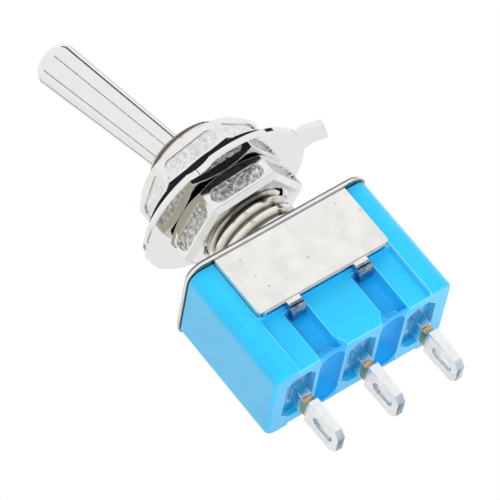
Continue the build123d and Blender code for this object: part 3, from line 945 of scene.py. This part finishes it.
@dataclass
class Case:
    """The sheet cover, the moulded housing, the terminals and their seals."""

    sheet_edge: float = 0.11 * MM
    blade_edge: float = 0.06 * MM
    moulding_edge: float = 0.07 * MM
    flap_bottom: float = -5.4 * MM
    middle_face: float = 3.0 * MM
    groove_x: float = 2.35 * MM
    groove_r: float = 0.95 * MM
    channel_x: float = 2.62 * MM
    channel_r: float = 0.82 * MM
    groove_ends: tuple[float, float] = (-1.8 * MM, 1.7 * MM)
    rim: float = 0.2 * MM
    wall_height: float = 1.0 * MM
    wall_inset: float = 0.02 * MM
    wall_overlap: float = 0.04 * MM
    ball_segments: int = 48
    channel_steps: int = 64
    snug: float = 1.02
    hook_slot: int = 1
    painted_highlight_slot: int = 1
    painted_shade_slot: int = 2

    def _groove_end(self, side: int, end: float) -> bpy.types.Object:
        """Make the wall that closes a groove's end, with its round hollow taken out.

        A front wall also loses the hook channel above its rim.

        Args:
            side: -1 for the left groove and 1 for the right one.
            end: where the hollow's round end is centred, front to back.

        Returns:
            The wall, set back a hair from the faces that it meets.
        """
        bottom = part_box("housing")[0].z
        face = math.copysign(self.middle_face - self.wall_inset, end)
        inner = self.groove_x - self.groove_r - self.wall_overlap
        outer = self.channel_x + self.channel_r + self.wall_overlap
        wall = add_primitive(bpy.ops.mesh.primitive_cube_add, size=1.0, location=(
            side * (inner + outer) / 2, (face + end) / 2,
            bottom + self.wall_inset + self.wall_height / 2))
        wall.scale = (outer - inner, abs(face - end), self.wall_height)
        bpy.ops.object.transform_apply(location=True, rotation=False, scale=True)
        ball = add_primitive(
            bpy.ops.mesh.primitive_uv_sphere_add, segments=self.ball_segments,
            ring_count=self.ball_segments // 2, radius=self.groove_r,
            location=(side * self.groove_x, end, bottom))
        combine(wall, ball, "DIFFERENCE")
        if end < 0:
            channel = add_primitive(
                bpy.ops.mesh.primitive_cylinder_add, vertices=self.channel_steps,
                radius=self.channel_r + 2 * self.wall_inset, depth=2 * self.wall_height,
                location=(side * self.channel_x, -self.middle_face,
                          bottom + self.rim + self.wall_height))
            combine(wall, channel, "DIFFERENCE")
        return wall

    def close_grooves(self, housing: bpy.types.Object) -> None:
        """Turn the two grooves under the housing into round-ended hollows with a rim.

        Args:
            housing: the copy of the housing, with open grooves.
        """
        for side in (-1, 1):
            for end in self.groove_ends:
                wall = self._groove_end(side, end)
                smooth_faces(wall)
                only(housing)
                wall.select_set(True)
                bpy.ops.object.join()

    def shade_hollows(self, housing: bpy.types.Object) -> None:
        """Put the walls of the grooves and channels in the slot whose darker blue is painted
        shade.

        Args:
            housing: the copy of the housing, with closed grooves.
        """
        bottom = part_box("housing")[0].z
        for face in housing.data.polygons:
            x, y, z = abs(face.center.x), abs(face.center.y), face.center.z
            groove = (z > bottom + 2 * self.wall_inset
                      and math.hypot(x - self.groove_x, z - bottom) < self.groove_r * self.snug)
            channel = (y < self.middle_face - 2 * self.wall_inset and math.hypot(
                x - self.channel_x, y - self.middle_face) < self.channel_r * self.snug)
            if groove or channel:
                face.material_index = self.painted_shade_slot

    def build(self) -> None:
        """Round the visible edges and dress the case."""
        cover = copy_of("frame_cover", "cover_folded")
        soften(cover, self.sheet_edge)
        cover.data.materials.append(None)
        # faces below the flap's bottom are the hooks, which take the painted reflection and shade
        for face in cover.data.polygons:
            if face.center.z < self.flap_bottom:
                face.material_index = self.hook_slot
        finish_piece(cover, ["satin_cover", "hook_painted_reflection_shade"], "case",
                     ["frame_cover"])
        housing = copy_of("housing", "housing_moulded")
        # the rounded outward edges take a paler blue: painted highlight
        bevel_outward(housing, self.moulding_edge, self.painted_highlight_slot)
        self.close_grooves(housing)
        # the hollows take a darker blue: painted shade
        self.shade_hollows(housing)
        finish_piece(housing, ["blue_moulding", "blue_moulding_painted_highlight", "blue_moulding_painted_shade"],
                     "case", ["housing"])
        for side in Side:
            node = "terminal_" + side.value
            piece = copy_of(node, node + "_silvered")
            soften(piece, self.blade_edge)
            finish_piece(piece, ["silvered_terminal"], "case", [node])
            # the seals' dark patches are partly painted shade in the pockets
            dress_node("seal_" + side.value, "poured_seal")


@dataclass
class Works:
    """The lever and the pieces that it moves inside."""

    finishes: dict[str, str] = field(default_factory=lambda: {
        "lever": "bright_nickel_lever", "plunger": "nylon_plunger",
        "plunger_spring": "spring_wire",
        "contact_rocker": "rocker_silver", "contact_left": "contact_silver",
        "contact_right": "contact_silver"})

    def build(self) -> None:
        """Dress the lever and the inner pieces."""
        for node, finish in self.finishes.items():
            dress_node(node, finish)


# ---- studio -----------------------------------------------------------------
@dataclass(frozen=True)
class Lamp:
    """A soft square lamp, placed by its direction from the object."""

    name: str
    azimuth: float
    elevation: float
    power: float
    size: float = 0.22
    distance: float = 0.3


@dataclass(frozen=True)
class Card:
    """A toned card that only shows in the gloss of the metal.

    It stands at its azimuth and elevation, turned to the object, or lies flat on the floor.
    """

    name: str
    place: tuple[float, float]
    size: tuple[float, float]
    tone: Color
    flat: bool = False
    distance: float = 0.26


@dataclass
class Studio:
    """Camera, lamps, cards, world and floor."""

    aim: Vector = field(default_factory=lambda: Vector((-0.74, 0.36, 0.79)) * MM)
    azimuth: float = -25.9
    elevation: float = -22.7
    roll: float = -39.9
    distance: float = 278.0 * MM
    lens: float = 317.4
    sensor: float = 36.0
    clip: tuple[float, float] = (10 * MM, 10.0)
    fill: float = 0.42
    floor_gap: float = 0.2 * MM
    floor_r: float = 0.35
    floor_sides: int = 96
    floor_fade: tuple[float, float] = (0.04, 0.16)
    floor_tone: Color = (0.9, 0.9, 0.9)
    lamps: tuple[Lamp, ...] = (
        Lamp("key_lamp", 45.0, 58.0, 0.66),
        Lamp("left_lamp", -60.0, 14.0, 0.14),
        Lamp("back_lamp", -160.0, 50.0, 0.15),
        Lamp("under_lamp", -20.0, -50.0, 0.5),
    )
    cards: tuple[Card, ...] = (
        Card("right_strip", (79.0, 30.0), (0.055, 0.22), (0.02, 0.02, 0.03)),
        Card("front_strip", (-8.0, 15.0), (0.016, 0.14), (0.06, 0.06, 0.06)),
        Card("left_strip", (-92.0, 4.0), (0.024, 0.16), (0.25, 0.25, 0.25)),
        Card("back_card", (150.0, 24.0), (0.2, 0.12), (0.55, 0.58, 0.63)),
        Card("left_card", (-135.0, 12.0), (0.16, 0.16), (0.95, 0.95, 0.94)),
        Card("edge_card", (-164.0, 14.0), (0.05, 0.14), (0.36, 0.36, 0.38), distance=0.25),
        Card("front_mat", (0.008, -0.062), (0.09, 0.084), (0.012, 0.012, 0.014), flat=True),
        Card("left_mat", (-0.046, 0.016), (0.044, 0.044), (0.50, 0.47, 0.38), flat=True),
    )

    @staticmethod
    def toward(azimuth: float, elevation: float) -> Vector:
        """Give the unit vector from the object towards a direction.

        Args:
            azimuth: degrees; 0 is the front and 90 the right.
            elevation: degrees above the horizon.

        Returns:
            The vector.
        """
        a, e = math.radians(azimuth), math.radians(elevation)
        return Vector((math.sin(a) * math.cos(e), -math.cos(a) * math.cos(e), math.sin(e)))

    def _turn_to_object(self, obj: bpy.types.Object, out: Vector, distance: float) -> None:
        """Place a camera or lamp and turn it to the object.

        Args:
            obj: the camera or lamp.
            out: unit vector from the object towards it.
            distance: how far off it stands.
        """
        obj.location = self.aim + out * distance
        obj.rotation_mode = "QUATERNION"
        obj.rotation_quaternion = (-out).to_track_quat("-Z", "Y")

    def place_camera(self) -> None:
        """Make the camera and give it to the scene."""
        data = bpy.data.cameras.new("camera")
        data.lens = self.lens
        data.sensor_width = self.sensor
        data.clip_start, data.clip_end = self.clip
        camera = link_new("camera", data)
        self._turn_to_object(camera, self.toward(self.azimuth, self.elevation), self.distance)
        camera.rotation_quaternion @= Quaternion((0, 0, 1), math.radians(self.roll))
        bpy.context.scene.camera = camera

    def hang_lamps(self) -> None:
        """Make the lamps, all turned to the object; the gloss sees the white room instead."""
        for lamp in self.lamps:
            data = bpy.data.lights.new(lamp.name, "AREA")
            data.shape, data.size, data.energy = "SQUARE", lamp.size, lamp.power
            obj = link_new(lamp.name, data)
            out = self.toward(lamp.azimuth, lamp.elevation)
            self._turn_to_object(obj, out, lamp.distance)
            obj.visible_glossy = False

    def stand_cards(self) -> None:
        """Make the cards; camera, shadows and matt surfaces don't see them."""
        for card in self.cards:
            if card.flat:
                place = Vector((*card.place, CAD_BOX[0].z - self.floor_gap / 2))
                turn = Quaternion()
            else:
                out = self.toward(*card.place)
                place = self.aim + out * card.distance
                turn = (-out).to_track_quat("Z", "Y")
            obj = add_primitive(bpy.ops.mesh.primitive_plane_add, size=1.0, location=place,
                                rotation=turn.to_euler())
            obj.name, obj.scale = card.name, (*card.size, 1.0)
            bpy.ops.object.transform_apply(location=False, rotation=False, scale=True)
            material, canvas = new_material(card.name)
            canvas.output(canvas.add("Emission", in_Color=(*card.tone, 1.0)))
            obj.data.materials.append(material)
            for ray in ("camera", "diffuse", "transmission", "volume_scatter", "shadow"):
                setattr(obj, "visible_" + ray, False)

    def build_world(self) -> None:
        """Give a white background, and a plain even fill for everything else."""
        world = bpy.data.worlds.new("studio")
        bpy.context.scene.world = world
        world.use_nodes = True
        canvas = Canvas(world.node_tree)
        path = canvas.add("LightPath")
        seen = canvas.math("MAXIMUM", path.outputs["Is Camera Ray"], path.outputs["Is Glossy Ray"])
        seen = canvas.math("MAXIMUM", seen, path.outputs["Is Transmission Ray"])
        strength = canvas.remap(seen, (0.0, 1.0), (self.fill, 1.0))
        background = canvas.add("Background", in_Color=(*WHITE, 1.0))
        canvas.join(strength, background.inputs["Strength"])
        canvas.output(background, "OutputWorld")

    def lay_floor(self) -> None:
        """Lay a pale floor below the terminals; from below it isn't seen and hides nothing."""
        floor = add_primitive(
            bpy.ops.mesh.primitive_circle_add, vertices=self.floor_sides, radius=self.floor_r,
            fill_type="NGON", location=(0, 0, CAD_BOX[0].z - self.floor_gap))
        floor.name = "floor"
        material, canvas = new_material("pale_floor")
        path, side = canvas.add("LightPath"), canvas.add("NewGeometry")
        distance = canvas.length_of(canvas.add("TexCoord").outputs["Object"])
        far = canvas.remap(distance, self.floor_fade, (0.0, 1.0), smooth=True)
        pale = canvas.add("BsdfDiffuse", in_Color=(*self.floor_tone, 1.0))
        white = canvas.add("Emission", in_Color=(*WHITE, 1.0))
        surface = canvas.mix_shaders(far, pale, white)
        clear = canvas.add("BsdfTransparent")
        hidden = canvas.math("MAXIMUM", side.outputs["Backfacing"],
                             path.outputs["Is Shadow Ray"])
        canvas.output(canvas.mix_shaders(hidden, surface, clear))
        floor.data.materials.append(material)

    def build(self) -> None:
        """Set up the whole studio."""
        bpy.context.scene.view_settings.view_transform = "Standard"
        self.place_camera()
        self.hang_lamps()
        self.stand_cards()
        self.build_world()
        self.lay_floor()
        log.info("studio: %d lamps, %d cards", len(self.lamps), len(self.cards))


def main() -> None:
    """Build the looks, sub-assembly by sub-assembly."""
    logging.basicConfig(level=logging.INFO, format="%(name)s %(message)s")
    Studio().build()
    for part in (Works(), ThreadedBushing(), PanelHardware(), Case()):
        part.build()


if __name__ == "__main__":
    main()
